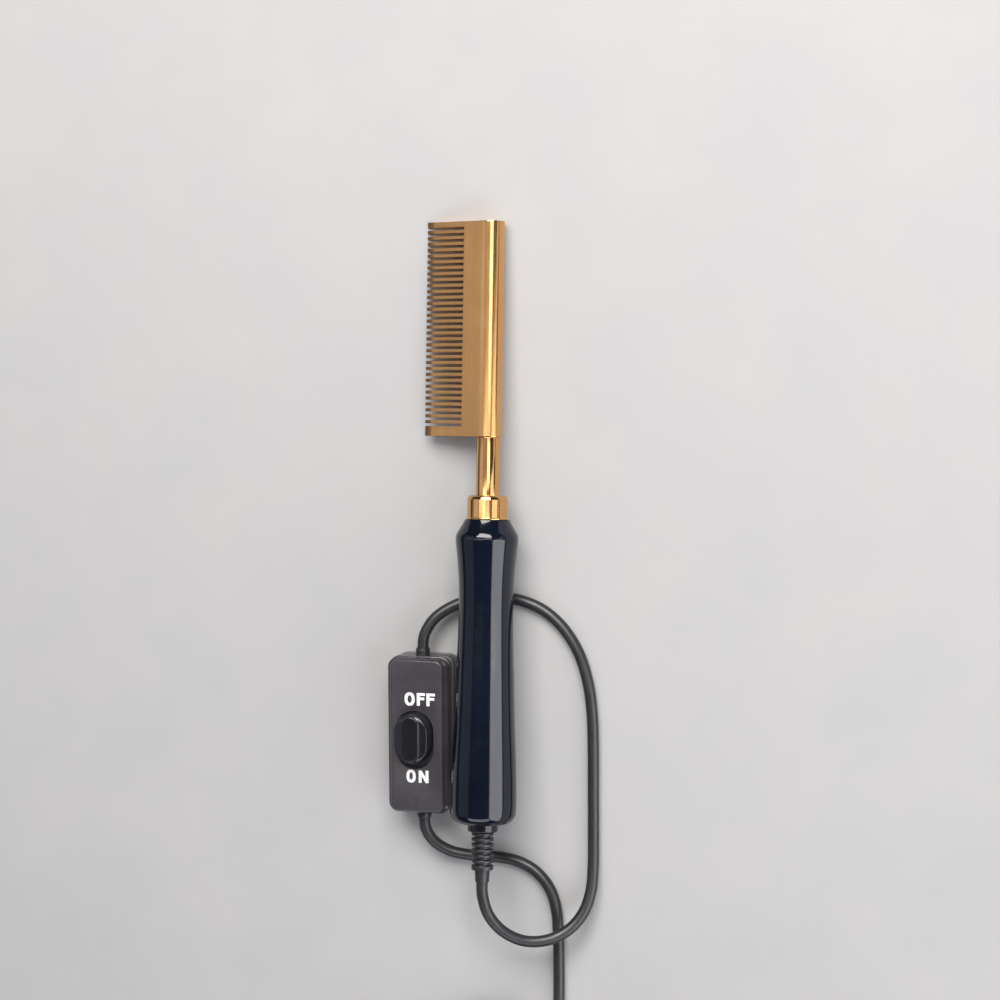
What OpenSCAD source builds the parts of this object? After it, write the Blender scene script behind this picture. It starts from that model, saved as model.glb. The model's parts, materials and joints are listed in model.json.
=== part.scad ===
// Electric hot comb lying on a flat surface, with its lead, slide switch and plug.
// Millimetres, +Z up, comb along +Y.

/* [Comb head] */
// Length of the toothed blade along the comb
blade_len = 88.5; // [88:0.5:92]
// Distance from the spine axis to the tips of the teeth
reach = 29.6; // [28:0.1:31]
// Radius of the round heated spine
spine_r = 5.5; // [5.2:0.1:5.8]
// Distance from the spine axis to the root of the teeth
root_x = 10.8; // [10.5:0.1:15]
// Number of slots between the teeth
slots = 34; // [20:1:34]
// Distance from one tooth to the next
pitch_teeth = 2.454; // [2:0.002:2.5]
// Width of one slot
slot_w = 1.15; // [0.8:0.05:1.4]

/* [Neck and collar] */
// Visible length of the neck tube
neck_len = 24.1; // [20:0.1:30]
// Outer radius of the neck tube
neck_r = 5; // [4.9:0.05:5.2]
// Length of the collar
collar_len = 10; // [8:0.1:14]
// Outer radius of the collar at its free end
collar_r = 8.45; // [8.2:0.05:8.6]

/* [Handle] */
// Length of the handle shell
handle_len = 125.4; // [125.2:0.1:125.6]
// Radius of the hollow inside the handle
cavity_r = 8.6; // [8.2:0.1:8.8]

/* [Lead] */
// Diameter of the lead
cord_d = 4.8; // [4.6:0.1:4.8]

/* [Switch] */
// Width of the switch case
sw_w = 27; // [27:0.5:29]
// Length of the switch case
sw_l = 66; // [62:0.5:66]
// Height of the switch case
sw_h = 18; // [18:0.5:19]
// Travel of the slide button from OFF to ON
travel = 2.2; // [1.8:0.2:2.4]

/* [Plug] */
// Width of the plug body
plug_w = 24; // [22:0.5:26]
// Length of the plug body
plug_l = 25; // [22:0.5:28]

/* [Hidden] */

gold = "goldenrod";
black = [0.05, 0.05, 0.06];
brass = [0.80, 0.62, 0.30];
steel = [0.70, 0.70, 0.72];
ceramic = [0.92, 0.90, 0.84];
copper = [0.80, 0.45, 0.30];

neck_y = collar_len + neck_len;      // near end of the blade
far_y = neck_y + blade_len;          // far end of the blade
cord_r = cord_d / 2;
tip_half = 0.3;                      // half the thickness of a tooth at its tip
bevel_x = reach - 1.8;               // where the tip bevel starts
bevel_half = 0.72;                   // half thickness there
cross_y = 35;                        // where the lead passes under the handle
waist_r = 11.3;
boot_end = 150;                      // free end of the strain relief
rib_pitch = 2.27;                    // distance between the strain relief's ribs

// resting pose: far end of the blade on the surface, waist of the handle on the lead
pitch = asin((cord_d + 0.3 + waist_r - spine_r) / (far_y + cross_y));
roll = asin((spine_r - bevel_half * 0.985) / bevel_x);
h0 = far_y * sin(pitch) + spine_r * cos(pitch);
origin = [7.687, 13.576, 0];             // puts the comb's bottom centre at the origin

module place() translate(origin) children();
module lay() place() translate([0, 0, h0]) rotate([-pitch, 0, 0]) rotate([0, -roll, 0]) children();

// cylinder along +Y from y0 to y1
module cyl_y(r, y0, y1, x = 0, z = 0, fn = 64)
    translate([x, y0, z]) rotate([-90, 0, 0]) cylinder(r = r, h = y1 - y0, $fn = fn);
module cone_y(r0, r1, y0, y1, fn = 64)
    translate([0, y0, 0]) rotate([-90, 0, 0]) cylinder(r1 = r0, r2 = r1, h = y1 - y0, $fn = fn);
module tube_y(ro, ri, y0, y1, x = 0, z = 0)
    difference() { cyl_y(ro, y0, y1, x, z); cyl_y(ri, y0 - 1, y1 + 1, x, z); }
// round rod between two points
module rod(p, q, r, fn = 32) {
    d = q - p;
    l = norm(d);
    translate(p) rotate([0, acos(d[2] / l), atan2(d[1], d[0])]) cylinder(r = r, h = l, $fn = fn);
}
// solid of revolution about +Y from a list of [y, r]
module turned(pts, fn = 96)
    rotate([-90, 0, 0]) rotate_extrude($fn = fn)
        polygon(concat([[0, pts[0][0]]], [for (p = pts) [p[1], p[0]]], [[0, pts[len(pts) - 1][0]]]));

// smooth curve through points (Catmull-Rom), n steps per span
function cr(a, b, c, d, t) = 0.5 * ((2 * b) + (c - a) * t + (2 * a - 5 * b + 4 * c - d) * t * t + (3 * b - a - 3 * c + d) * t * t * t);
function curve(p, n) = let (m = len(p)) concat(
    [for (i = [0:m - 2]) for (k = [0:n - 1])
        cr(p[max(i - 1, 0)], p[i], p[i + 1], p[min(i + 2, m - 1)], k / n)], [p[m - 1]]);
function unit(v) = v / norm(v);
function along(p, i) = unit(p[min(i + 1, len(p) - 1)] - p[max(i - 1, 0)]);
// tube swept along points, level rings
module sweep(p, r, sides) {
    n = len(p);
    pts = [for (i = [0:n - 1])
        let (t = along(p, i), s = unit(cross([0, 0, 1], t)), u = cross(t, s))
        for (k = [0:sides - 1]) p[i] + r * (cos(360 * k / sides) * s + sin(360 * k / sides) * u)];
    faces = concat(
        [[for (k = [0:sides - 1]) k]],
        [for (i = [0:n - 2]) for (k = [0:sides - 1])
            let (a = i * sides + k, b = i * sides + (k + 1) % sides) [a, a + sides, b + sides, b]],
        [[for (k = [sides - 1:-1:0]) (n - 1) * sides + k]]);
    polyhedron(points = pts, faces = faces, convexity = 10);
}
// open helix along +Y
module helix(R, r, turns, y0, y1, per = 12, sides = 4) {
    n = turns * per;
    pts = [for (i = [0:n])
        let (a = 360 * i / per, y = y0 + (y1 - y0) * i / n,
             t = unit([-R * sin(a) * 2 * PI * turns, (y1 - y0), R * cos(a) * 2 * PI * turns]),
             s = [cos(a), 0, sin(a)], u = cross(t, s), c = [R * cos(a), y, R * sin(a)])
        for (k = [0:sides - 1]) c + r * (cos(360 * k / sides) * s + sin(360 * k / sides) * u)];
    faces = concat(
        [[for (k = [0:sides - 1]) k]],
        [for (i = [0:n - 1]) for (k = [0:sides - 1])
            let (a = i * sides + k, b = i * sides + (k + 1) % sides) [a, a + sides, b + sides, b]],
        [[for (k = [sides - 1:-1:0]) n * sides + k]]);
    polyhedron(points = pts, faces = faces, convexity = 10);
}

// ---------- comb head ----------
function blade_profile() = let (
    L = norm([bevel_x, bevel_half]),
    ta = 180 - atan(bevel_half / bevel_x) - acos(spine_r / L)) concat(
    [for (i = [0:36]) let (a = -ta + 2 * ta * i / 36) [spine_r * cos(a), spine_r * sin(a)]],
    [[-bevel_x, bevel_half], [-reach, tip_half], [-reach, -tip_half], [-bevel_x, -bevel_half]]);

module comb_blade() color(gold) difference() {
    union() {
        translate([0, neck_y, 0]) rotate([-90, 0, 0]) linear_extrude(height = blade_len) polygon(blade_profile());
        cyl_y(4.25, neck_y - 8, neck_y + 0.5);
    }
    cyl_y(3.2, neck_y - 9, far_y - 5);
    first = far_y - 2.85;
    for (i = [0:slots - 1])
        translate([-reach - 1, first - i * pitch_teeth - slot_w / 2, -spine_r])
            cube([reach + 1 - root_x, slot_w, 2 * spine_r]);
}
module heater_core() color(ceramic) cyl_y(1.3, neck_y - 2, far_y - 8);
module heater_winding() color(steel) helix(1.75, 0.22, 16, neck_y + 1, far_y - 10, 12, 4);
module mica_sleeve() color("tan") tube_y(3.1, 2.15, neck_y - 4, far_y - 7);
module heater_end_disc() color(ceramic) cyl_y(3.1, far_y - 6.9, far_y - 5.1);

// ---------- neck, collar, mounting ----------
module neck_tube() color(gold) tube_y(neck_r, 4.3, -17, neck_y - 0.02);
module collar() color(gold) difference() {
    turned([[0, collar_r + 0.15], [0.8, collar_r + 0.15], [collar_len - 1.6, collar_r],
        [collar_len - 0.8, collar_r - 0.25], [collar_len - 0.2, collar_r - 0.85], [collar_len, collar_r - 1.6]]);
    cyl_y(7.5, -1, collar_len - 1);
    cyl_y(neck_r + 0.08, -1, collar_len + 1);
}
module ceramic_bush() color(ceramic) tube_y(7.42, neck_r + 0.05, -3.95, collar_len - 1.1);
module tube_washer() color(steel) tube_y(7.8, neck_r + 0.08, -11.05, -10.05);
module tube_lock_nut() color(steel) difference() {
    translate([0, -15.2, 0]) rotate([-90, 0, 0]) cylinder(r = 8.05, h = 4.1, $fn = 6);
    cyl_y(neck_r + 0.03, -16, -10);
}

// ---------- wiring inside ----------
module line_lead() color("white") {
    cyl_y(0.6, -31, neck_y - 4.2, 2.4, 0, 32);
}
module neutral_lead() color("white") cyl_y(0.6, -49.9, neck_y - 4.2, -2.4, 0, 32);
module thermal_fuse() color(steel) union() {
    cyl_y(1.9, -42, -31.05, 2.4, 0, 32);
    cyl_y(0.45, -49.9, -42, 2.4, 0, 32);
}
module line_crimp() color(brass) cyl_y(1.6, -60, -50, 2.4, 0, 32);
module neutral_crimp() color(brass) cyl_y(1.6, -60, -50, -2.4, 0, 32);
module line_core() color("black") rod([2.4, -60.2, 0], [1.15, -107.8, 0], 0.9);
module neutral_core() color("white") rod([-2.4, -60.2, 0], [-1.15, -107.8, 0], 0.9);

// ---------- handle ----------
function handle_curve() = curve([
    [-handle_len, 10.1], [-handle_len + 0.9, 11.9], [-handle_len + 2.6, 13.2], [-handle_len + 5.6, 13.75],
    [-112, 13.8], [-99, 13.4], [-83, 12.65], [-66, 12.1], [-50, 11.55], [-38, 11.3], [-30, 11.32],
    [-22, 11.7], [-15, 12.3], [-11, 12.8], [-8.2, 13], [-6.6, 12.85], [-5.4, 12.35], [-3.6, 11.25], [-1.8, 10.2], [-0.5, 9.5], [0, 9.3]], 3);
module handle_shell() color(black) difference() {
    turned(handle_curve(), 128);
    cyl_y(7.5, -4, 1);
    cyl_y(neck_r + 0.1, -11, 1);
    cyl_y(cavity_r, -handle_len - 1, -10);
}
module rear_cap() color(black) difference() {
    union() {
        cyl_y(cavity_r - 0.04, -handle_len, -handle_len + 5.6);
        cyl_y(6.3, -handle_len - 3.6, -handle_len);
    }
    cyl_y(3.75, -handle_len - 5, -handle_len + 7);
}
module strain_relief() color(black) difference() {
    union() {
        cyl_y(6, -119.7, -117.5);
        cyl_y(3.7, -129.2, -119.7);
        cyl_y(3.2, -145.8, -129);
        for (i = [0:6]) cyl_y(4.65 - 0.02 * i, -130.55 - i * rib_pitch - (i == 6 ? 0.7 : 0), -129.2 - i * rib_pitch);
        cone_y(2.85, 3.15, -boot_end, -145.7);
    }
    cyl_y(cord_r + 0.06, -boot_end - 1, -110);
}
module cord_stop_ring() color(steel) tube_y(4.2, cord_r + 0.05, -116.6, -113);
module cord_inner_end() color(black) cyl_y(cord_r, -boot_end, -108);

// ---------- lead from handle to switch ----------
sw_x = -30.2;
sw_y = -91.2;
cord_z = cord_r;
tail = [0, -boot_end * cos(pitch), h0 + boot_end * sin(pitch)];
handle_route = [tail, [0.2, -155.5, 24.4], [2.4, -163.6, 23.3], [7.6, -170.6, 20.8], [15.4, -175, 17.4],
    [24.4, -175.2, 13.6], [32.6, -171.4, 9.8], [38.4, -164.4, 6.8], [41.2, -155.4, 4.6], [41.8, -146, 3.2],
    [41.8, -136, 2.5], [41.8, -124, cord_z], [41.8, -110, cord_z], [41.8, -96, cord_z], [41.4, -82, cord_z],
    [39.8, -69, cord_z], [36, -56.5, cord_z], [29.4, -46, cord_z], [20.4, -38.4, cord_z], [10, -34.6, cord_z],
    [0, -33.9, cord_z], [-10, -35, 3.5], [-18.6, -38, 5.4], [-25.6, -43, 7.4], [-29.5, -49.6, 8.7],
    [sw_x, sw_y + sw_l / 2 + 3, 9]];
module handle_cord() color(black) place() sweep(handle_route, cord_r, 10);

// ---------- slide switch ----------
module sw() place() translate([sw_x, sw_y, 0]) children();
split = 9;                 // height of the joint between the two case halves
wall = 2;
top_t = 2.4;               // thickness of the top wall
pocket = 1.2;              // depth of the button's track
track_y = -1.6;            // centre of the button's track
off_y = track_y + travel / 2; // button at rest: OFF
button_x = -1.1;           // the button sits left of the case's centreline
screw_at = [[8.2, 17], [-8.2, -17]];
module plan(w, l, r, z0, z1, fn = 48) {
    translate([-w / 2 + r, -l / 2, z0]) cube([w - 2 * r, l, z1 - z0]);
    translate([-w / 2, -l / 2 + r, z0]) cube([w, l - 2 * r, z1 - z0]);
    for (x = [-1, 1], y = [-1, 1]) translate([x * (w / 2 - r), y * (l / 2 - r), z0])
        cylinder(r = r, h = z1 - z0, $fn = fn);
}
module stadium(w, l, z0, z1, fn = 48) {
    translate([-w / 2, -(l - w) / 2, z0]) cube([w, l - w, z1 - z0]);
    for (y = [-1, 1]) translate([0, y * (l - w) / 2, z0]) cylinder(r = w / 2, h = z1 - z0, $fn = fn);
}
module switch_lower_case() color(black) sw() difference() {
    union() {
        difference() {
            plan(sw_w, sw_l, 4.5, 0, split - 0.02);
            plan(sw_w - 2 * wall, sw_l - 2 * wall, 2.5, wall, split + 1);
        }
        for (p = screw_at) translate([p[0], p[1], wall - 0.5]) cylinder(r = 3.4, h = split - wall - 2, $fn = 48);
        for (y = [-1, 1]) translate([-8, y * 25.5 - 2, wall - 0.5]) cube([16, 4, split - cord_r - wall + 0.45]);
    }
    for (p = screw_at) translate([p[0], p[1], -1]) {
        cylinder(r = 1.7, h = 12, $fn = 48);
        cylinder(r = 3, h = 3.2, $fn = 48);
    }
    for (y = [-1, 1], x = [-1, 1]) translate([x * 5.6, y * 25.5, 3.2]) cylinder(r = 0.8, h = 5, $fn = 32);
    cyl_y(3.1, -sw_l, sw_l, 0, split);
}
module case_block(z0, z1) hull() {
    for (x = [-1, 1], y = [-1, 1]) translate([x * (sw_w / 2 - 4.5), y * (sw_l / 2 - 4.5), 0]) {
        translate([0, 0, z0]) cylinder(r = 4.5, h = z1 - z0 - 2.2, $fn = 32);
        translate([0, 0, z1 - 1.1]) cylinder(r = 4.1, h = 0.1, $fn = 32);
        translate([0, 0, z1 - 0.4]) cylinder(r = 3.3, h = 0.05, $fn = 32);
        translate([0, 0, z1 - 0.1]) cylinder(r = 2.4, h = 0.1, $fn = 32);
    }
}
module switch_upper_case() color(black) sw() difference() {
    union() {
        difference() {
            case_block(split + 0.02, sw_h);
            plan(sw_w - 2 * wall, sw_l - 2 * wall, 2.5, split - 1, sw_h - top_t);
        }
        for (p = screw_at) translate([p[0], p[1], split - 1.2]) cylinder(r = 3.2, h = sw_h - top_t - split + 1.5, $fn = 32);
    }
    for (p = screw_at) translate([p[0], p[1], split - 2]) cylinder(r = 1.42, h = 7.4, $fn = 32);
    translate([button_x, track_y, 0]) stadium(16.4, 21.9 + travel, sw_h - pocket, sw_h + 1, 32);
    translate([-2.5, track_y - 4.2 - travel / 2, sw_h - top_t - 1]) cube([5, 8.4 + travel, 4]);
    cyl_y(3.1, -sw_l, sw_l, 0, split);
}
module slide_button() color(black) sw() translate([0, off_y, 0]) union() {
    translate([button_x, 0, 0]) {
        stadium(15.8, 21.6, sw_h - pocket + 0.06, sw_h + 0.3);
        hull() for (y = [-1, 1]) {
            translate([0, 2.9 * y, sw_h + 0.2]) cylinder(r = 7.8, h = 0.1, $fn = 32);
            translate([0, 2.9 * y, sw_h + 5.1]) cylinder(r = 7.35, h = 0.1, $fn = 32);
            translate([0, 6.2 * y, sw_h + 6.2]) cylinder(r = 3.5, h = 0.1, $fn = 32);
        }
    }
    translate([-2.3, -4, sw_h - top_t - 1.6]) cube([4.6, 8, top_t - pocket + 1.8]);
}
module slide_carrier() color("ivory") sw() translate([0, off_y, 0]) difference() {
    translate([-4.5, -6, 12.4]) cube([9, 12, sw_h - top_t - 12.5]);
    translate([-2.33, -4.03, sw_h - top_t - 1.63]) cube([4.66, 8.06, 4]);
    translate([0, 0, 12]) cylinder(r = 1.75, h = 1.9, $fn = 32);
}
module contact_bridge() color(copper) sw() translate([0, off_y, 0]) union() {
    translate([-2, -7, 10.9]) cube([4, 14, 0.4]);
    for (y = [-6.2, 6.2]) translate([0, y, 10.66]) cylinder(r = 0.8, h = 0.3, $fn = 32);
}
module contact_spring() color(steel) sw() translate([0, off_y, 0])
    rotate([90, 0, 0]) helix(1.35, 0.18, 3, 11.5, 13.65, 10, 4);
module line_contact_in() color(brass) sw() translate([0, track_y, 0]) union() {
    translate([-3, 0, 9.8]) cube([6, 11, 0.8]);
    translate([-3, 10.2, wall + 0.05]) cube([6, 0.8, 7.8]);
}
module line_contact_out() color(brass) sw() translate([0, track_y, 0]) union() {
    translate([-3, -13, 9.8]) cube([6, 6.1, 0.8]);
    translate([-3, -13, wall + 0.05]) cube([6, 0.8, 7.8]);
}
module switch_wire_in() color("black") sw() rod([1.2, 21.8, 9], [1.2, track_y + 11.1, 8], 0.8);
module switch_wire_out() color("black") sw() rod([1.2, -21.8, 9], [1.2, track_y - 13.1, 8], 0.8);
module neutral_wire() color("white") sw() union() {
    rod([-1.2, 21.8, 9], [-4.4, 14, 5], 0.8, 12);
    for (y = [-14, 14]) translate([-4.4, y, 5]) sphere(r = 0.8, $fn = 12);
    rod([-4.4, 14, 5], [-4.4, -14, 5], 0.8, 12);
    rod([-4.4, -14, 5], [-1.2, -21.8, 9], 0.8, 12);
}
module switch_cord_ends() color(black) sw() for (y = [-1, 1])
    translate([0, y > 0 ? 22 : -sw_l / 2 - 3, split]) rotate([-90, 0, 0]) cylinder(r = cord_r, h = sw_l / 2 + 3 - 22, $fn = 48);
module cord_clamp_bars() color(steel) sw() for (y = [-1, 1]) translate([0, y * 25.5, 0]) difference() {
    translate([-7.6, -1.8, split + cord_r + 0.02]) cube([15.2, 3.6, 1.2]);
    for (x = [-1, 1]) translate([x * 5.6, 0, split]) cylinder(r = 0.95, h = 6, $fn = 32);
}
module clamp_screws() color(steel) sw() for (y = [-1, 1], x = [-1, 1]) translate([x * 5.6, y * 25.5, 0]) union() {
    translate([0, 0, 3.6]) cylinder(r = 0.78, h = 9.2, $fn = 32);
    translate([0, 0, split + cord_r + 1.24]) difference() {
        cylinder(r = 1.7, h = 1.1, $fn = 32);
        translate([-1.2, -0.25, 0.5]) cube([2.4, 0.5, 1]);
    }
}
module case_screws() color(steel) sw() for (p = screw_at) translate([p[0], p[1], 0]) difference() {
    union() {
        translate([0, 0, 0.4]) cylinder(r = 2.8, h = 1.75, $fn = 48);
        translate([0, 0, 2]) cylinder(r = 1.38, h = 10.5, $fn = 48);
    }
    translate([-1.6, -0.35, 0]) cube([3.2, 0.7, 1.3]);
    translate([-0.35, -1.6, 0]) cube([0.7, 3.2, 1.3]);
}
module switch_grommets() color(black) sw() for (y = [-1, 1]) translate([0, y * sw_l / 2, split]) rotate([-90 * y, 0, 0]) difference() {
    union() {
        translate([0, 0, -3.6]) cylinder(r = 4.2, h = 1.5, $fn = 48);
        translate([0, 0, -2.1]) cylinder(r = 3.04, h = 5.1, $fn = 48);
    }
    translate([0, 0, -5]) cylinder(r = cord_r + 0.05, h = 10, $fn = 48);
}

// ---------- lead from switch to plug, folded into a tied hank ----------
hank_x = 0.8;
hank_y = -274;
end_y = 36;                // half the distance between the centres of the hank's end loops
loop_r = 25.2;             // centreline radius of the outermost end loop
mid_w = 12.6;              // centreline half width at the tie
tie_t = 0.9;
mains_route = [[sw_x, sw_y - sw_l / 2 - 3, 9], [-29.6, -132.4, 8.7], [-26, -138, 7.4], [-19.2, -142, 5.4],
    [-10, -143.6, 3.5], [0, -143.9, cord_z], [9, -145.2, cord_z], [17, -149.2, cord_z], [22.8, -156, cord_z],
    [25.6, -164.8, cord_z], [26.4, -175, cord_z], [26.6, -187, cord_z], [26.6, -199, cord_z], [26.4, -212, cord_z],
    [26.1, -225, cord_z], [26, hank_y + end_y, cord_z]];
module mains_lead() color(black) place() sweep(mains_route, cord_r, 10);
module cord_hank() color(black) place() translate([hank_x, hank_y, 0]) union() {
    for (y = [-1, 1]) translate([0, y * end_y, 0]) cylinder(r = loop_r + cord_r, h = 2 * cord_d + 0.1, $fn = 64);
    translate([-mid_w - cord_r, -end_y, tie_t]) cube([2 * (mid_w + cord_r), 2 * end_y, 2 * cord_d + 0.1]);
}
module cord_tie() color([0.1, 0.1, 0.1]) place() translate([hank_x, hank_y, 0]) difference() {
    translate([-mid_w - cord_r - tie_t - 0.05, -2.5, 0]) cube([2 * (mid_w + cord_r + tie_t + 0.05), 5, 2 * cord_d + 0.2 + 2 * tie_t]);
    translate([-mid_w - cord_r - 0.05, -4, tie_t - 0.05]) cube([2 * (mid_w + cord_r + 0.05), 8, 2 * cord_d + 0.2]);
}
plug_x = -41.7;
plug_z = 6.75;
plug_y = -301;             // start of the plug's tail
plug_route = [[26, hank_y - end_y, 7.2], [25.6, -319, 7.2], [23.4, -328, 6.6], [18.4, -336.5, 5], [10.4, -342.6, 3.4],
    [1, -345.2, 2.5], [-9, -344.8, cord_z], [-18.5, -341.5, cord_z], [-27, -335.5, 2.7], [-34, -327.5, 3.8],
    [-39, -318.5, 5.2], [-41.3, -309.5, 6.4], [plug_x, plug_y, plug_z]];
module plug_lead() color(black) place() sweep(plug_route, cord_r, 10);

// ---------- plug ----------
module pl() place() translate([plug_x, plug_y, plug_z]) children();
module plug_body() color(black) pl() difference() {
    union() {
        hull() for (s = [0, 1], x = [-1, 1], z = [-1, 1])
            translate([x * (plug_w / 2 - 3), 20 + s * (plug_l - 6), z * (plug_z - 3)])
                rotate([-90, 0, 0]) cylinder(r = 3, h = 2, $fn = 32);
        hull() {
            for (x = [-1, 1], z = [-1, 1]) translate([x * (plug_w / 2 - 3), 20, z * (plug_z - 3)])
                rotate([-90, 0, 0]) cylinder(r = 3, h = 1, $fn = 32);
            translate([0, 15.5, 0]) rotate([-90, 0, 0]) cylinder(r = 5.2, h = 1, $fn = 32);
        }
        cone_y(3.3, 5, 0, 16);
        for (i = [0:4]) cyl_y(4.2 + 0.3 * i, 2 + i * 2.9, 3.5 + i * 2.9);
    }
    cyl_y(cord_r + 0.06, -1, 14);
    translate([-9.05, 16 + plug_l - 10.05, -4.55]) cube([18.1, 8.1, 9.1]);
    for (x = [-1, 1]) translate([x * 6.35 - 0.8, 30, x > 0 ? -4.05 : -3.25]) cube([1.6, 20, x > 0 ? 8.1 : 6.5]);
}
module plug_insert() color("ivory") pl() difference() {
    translate([-9, 16 + plug_l - 10, -4.5]) cube([18, 8, 9]);
    for (x = [-1, 1]) translate([x * 6.35 - 0.8, 30, x > 0 ? -4.05 : -3.25]) cube([1.6, 20, x > 0 ? 8.1 : 6.5]);
}
module blade(x, w) pl() difference() {
    translate([x - 0.75, 16 + plug_l - 9, -w / 2]) cube([1.5, 9 + 17.5 - 1, w]);
    translate([x - 2, 16 + plug_l + 11.5, 0]) rotate([0, 90, 0]) cylinder(r = 1.6, h = 4, $fn = 32);
}
module plug_blade_wide() color(brass) blade(6.35, 7.9);
module plug_blade_narrow() color(brass) blade(-6.35, 6.35);

lay() comb_blade();
lay() heater_core();
lay() heater_winding();
lay() mica_sleeve();
lay() heater_end_disc();
lay() neck_tube();
lay() collar();
lay() ceramic_bush();
lay() tube_washer();
lay() tube_lock_nut();
lay() line_lead();
lay() neutral_lead();
lay() thermal_fuse();
lay() line_crimp();
lay() neutral_crimp();
lay() line_core();
lay() neutral_core();
lay() handle_shell();
lay() rear_cap();
lay() strain_relief();
lay() cord_stop_ring();
lay() cord_inner_end();
handle_cord();
switch_lower_case();
switch_upper_case();
slide_button();
slide_carrier();
contact_bridge();
contact_spring();
line_contact_in();
line_contact_out();
switch_wire_in();
switch_wire_out();
neutral_wire();
switch_cord_ends();
cord_clamp_bars();
clamp_screws();
case_screws();
switch_grommets();
mains_lead();
cord_hank();
cord_tie();
plug_lead();
plug_body();
plug_insert();
plug_blade_wide();
plug_blade_narrow();
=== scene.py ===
import json
import math
import bpy
import bmesh
from mathutils import Euler, Matrix, Vector
from mathutils.geometry import tessellate_polygon


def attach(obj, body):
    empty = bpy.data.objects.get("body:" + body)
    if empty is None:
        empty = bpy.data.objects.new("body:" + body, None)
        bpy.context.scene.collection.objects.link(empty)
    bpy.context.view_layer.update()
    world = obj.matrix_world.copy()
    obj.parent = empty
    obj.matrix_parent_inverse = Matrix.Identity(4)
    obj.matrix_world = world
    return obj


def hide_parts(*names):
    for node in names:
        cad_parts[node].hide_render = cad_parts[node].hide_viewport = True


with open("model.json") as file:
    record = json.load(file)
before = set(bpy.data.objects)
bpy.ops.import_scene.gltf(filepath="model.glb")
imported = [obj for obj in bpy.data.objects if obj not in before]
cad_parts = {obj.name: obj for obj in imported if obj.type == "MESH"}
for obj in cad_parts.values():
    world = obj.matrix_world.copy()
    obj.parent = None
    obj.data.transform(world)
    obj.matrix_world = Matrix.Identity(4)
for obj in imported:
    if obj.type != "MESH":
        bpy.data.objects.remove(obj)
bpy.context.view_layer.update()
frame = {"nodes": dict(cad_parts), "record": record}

# ------------------------------------------------------------------ the CAD's numbers, in millimetres
BLADE_LEN, REACH, SPINE_R, ROOT_X = 88.5, 29.6, 5.5, 10.8
SLOTS, PITCH_TEETH, SLOT_W = 34, 2.454, 1.15
NECK_LEN, NECK_R, COLLAR_LEN, COLLAR_R = 24.1, 5.0, 10.0, 8.45
HANDLE_LEN, CAVITY_R, CORD_D = 125.4, 8.6, 4.8
SW_W, SW_L, SW_H, TRAVEL = 27.0, 66.0, 18.0, 2.2
NECK_Y = COLLAR_LEN + NECK_LEN
FAR_Y = NECK_Y + BLADE_LEN
TIP_HALF, BEVEL_X, BEVEL_HALF = 0.3, REACH - 1.8, 0.72
CROSS_Y, WAIST_R, BOOT_END, RIB_PITCH = 35.0, 11.3, 150.0, 2.27
PITCH = math.asin((CORD_D + 0.3 + WAIST_R - SPINE_R) / (FAR_Y + CROSS_Y))
ROLL = math.asin((SPINE_R - BEVEL_HALF * 0.985) / BEVEL_X)
H0 = FAR_Y * math.sin(PITCH) + SPINE_R * math.cos(PITCH)
ORIGIN = Vector((7.687, 13.576, 0.0))
SW_X, SW_Y = -30.2, -91.2
TRACK_Y, BUTTON_X = -1.6, -1.1
OFF_Y = TRACK_Y + TRAVEL / 2
SPLIT, WALL, TOP_T, POCKET = 9.0, 2.0, 2.4, 1.2
SCREW_AT = [(8.2, 17.0), (-8.2, -17.0)]
HANK_X, HANK_Y, END_Y, LOOP_R, MID_W, TIE_T = 0.8, -274.0, 36.0, 25.2, 12.6, 0.9
PLUG_X, PLUG_Y, PLUG_Z, PLUG_W, PLUG_L = -41.7, -301.0, 6.75, 24.0, 25.0

MM = Matrix.Scale(0.001, 4)
PLACE = MM @ Matrix.Translation(ORIGIN)
ROT = Matrix.Rotation(-PITCH, 4, "X") @ Matrix.Rotation(-ROLL, 4, "Y")
LAY = PLACE @ Matrix.Translation((0, 0, H0)) @ ROT
SWITCH = PLACE @ Matrix.Translation((SW_X, SW_Y, 0))
PLUG = PLACE @ Matrix.Translation((PLUG_X, PLUG_Y, PLUG_Z))

scene = bpy.context.scene

# ------------------------------------------------------------------ camera
th, al, ro = math.radians(27.16), math.radians(1.573), math.radians(0.838)
back = Vector((math.sin(th) * math.cos(al), math.sin(al), math.cos(th) * math.cos(al)))
right = Vector((0, 1, 0)).cross(back).normalized()
up = back.cross(right)
right, up = right * math.cos(ro) + up * math.sin(ro), up * math.cos(ro) - right * math.sin(ro)
cam_at = right * 5.234 + up * 8.05 + back * 1124.1
R3 = ROT.to_3x3()
cam_data = bpy.data.cameras.new("camera")
cam_data.sensor_width = 36.0
cam_data.lens = 2728.0 / 1000.0 * 36.0
cam_data.clip_start, cam_data.clip_end = 0.05, 20.0
cam = bpy.data.objects.new("camera", cam_data)
scene.collection.objects.link(cam)
axes = Matrix((R3 @ right, R3 @ up, R3 @ back)).transposed().to_4x4()
cam.matrix_world = Matrix.Translation(LAY @ cam_at) @ axes
scene.camera = cam

# ------------------------------------------------------------------ small helpers


def catmull(pts, n):
    out = []
    m = len(pts)
    for i in range(m - 1):
        a, b, c, d = (Vector(pts[j]) for j in (max(i - 1, 0), i, i + 1, min(i + 2, m - 1)))
        for k in range(n):
            t = k / n
            out.append(0.5 * ((2 * b) + (c - a) * t + (2 * a - 5 * b + 4 * c - d) * t * t
                              + (3 * b - a - 3 * c + d) * t ** 3))
    out.append(Vector(pts[-1]))
    return out


def ease(a):
    a = max(0.0, min(1.0, a))
    return a * a * (3 - 2 * a)


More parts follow.
